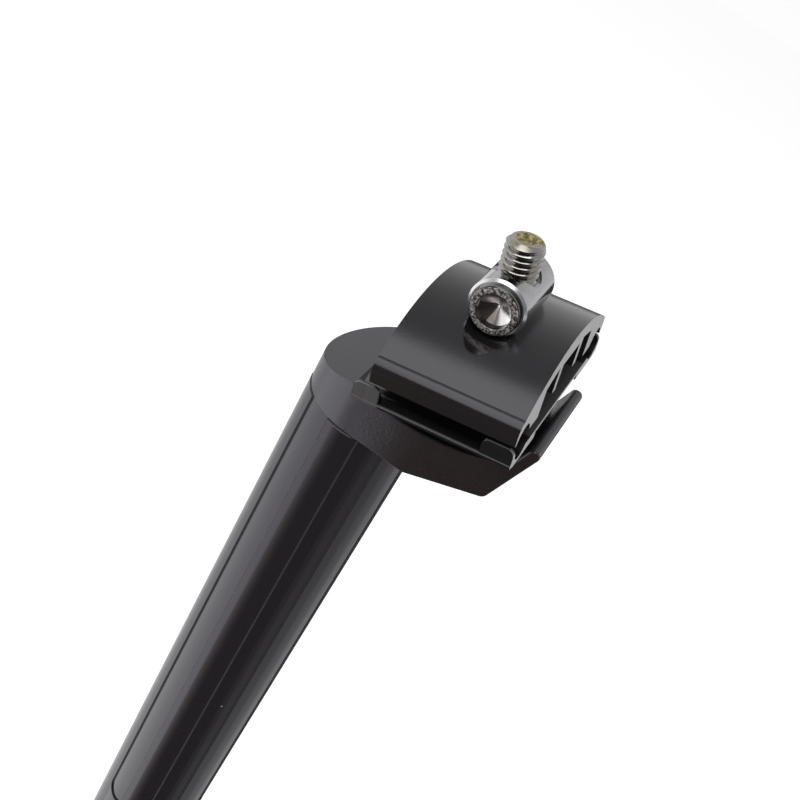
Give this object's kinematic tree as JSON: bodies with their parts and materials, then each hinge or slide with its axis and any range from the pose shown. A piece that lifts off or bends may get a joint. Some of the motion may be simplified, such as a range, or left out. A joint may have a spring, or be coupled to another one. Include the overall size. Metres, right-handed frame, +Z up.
{
  "type": "bicycle seatpost",
  "caption": "Setback bicycle seatpost: fluted round tube, forged head and a tilting single-bolt clamp that grips the saddle rails between an arched upper jaw and a lower cradle.",
  "frame": {"origin": "centre of the tube's lower end", "axes": "+Z up the tube, +X to the rear (the side the head is set back to), +Y to the rider's left"},
  "size_m": [0.0493, 0.0518, 0.3757],
  "materials": {
    "gloss_black_anodised": "gloss black anodised",
    "satin_black_head": "satin black, lightly grained",
    "satin_black_clamp": "satin black with bare cut ends",
    "bright_zinc": "bright zinc plated steel"
  },
  "bodies": {
    "post": {"post_tube": "gloss_black_anodised", "head": "satin_black_head"},
    "cradle": {"lower_cradle": "satin_black_clamp", "curved_washer": "bright_zinc"},
    "bolt": {"clamp_bolt": "bright_zinc"},
    "jaw": {"upper_clamp": "satin_black_clamp", "barrel_nut": "bright_zinc"}
  },
  "joints": [
    {"name": "saddle_tilt", "type": "hinge", "parent": "post", "child": "cradle", "pos_m": [0.008, 0, 0.3786], "axis": [0, 1, 0], "range_deg": [-2.4, 2.5]},
    {"name": "bolt_turn", "type": "hinge", "parent": "cradle", "child": "bolt", "pos_m": [0.0167, 0, 0.34885], "axis": [-0.2215, 0, 0.9751], "range_deg": [0, 1440]},
    {"name": "jaw_lift", "type": "slide", "parent": "cradle", "child": "jaw", "axis": [-0.2215, 0, 0.9751], "range_m": [0, 0.005]}
  ],
  "couplings": [
    {"joint": "bolt_turn", "follows": "jaw_lift", "rad_per_m": 5026.5}
  ]
}
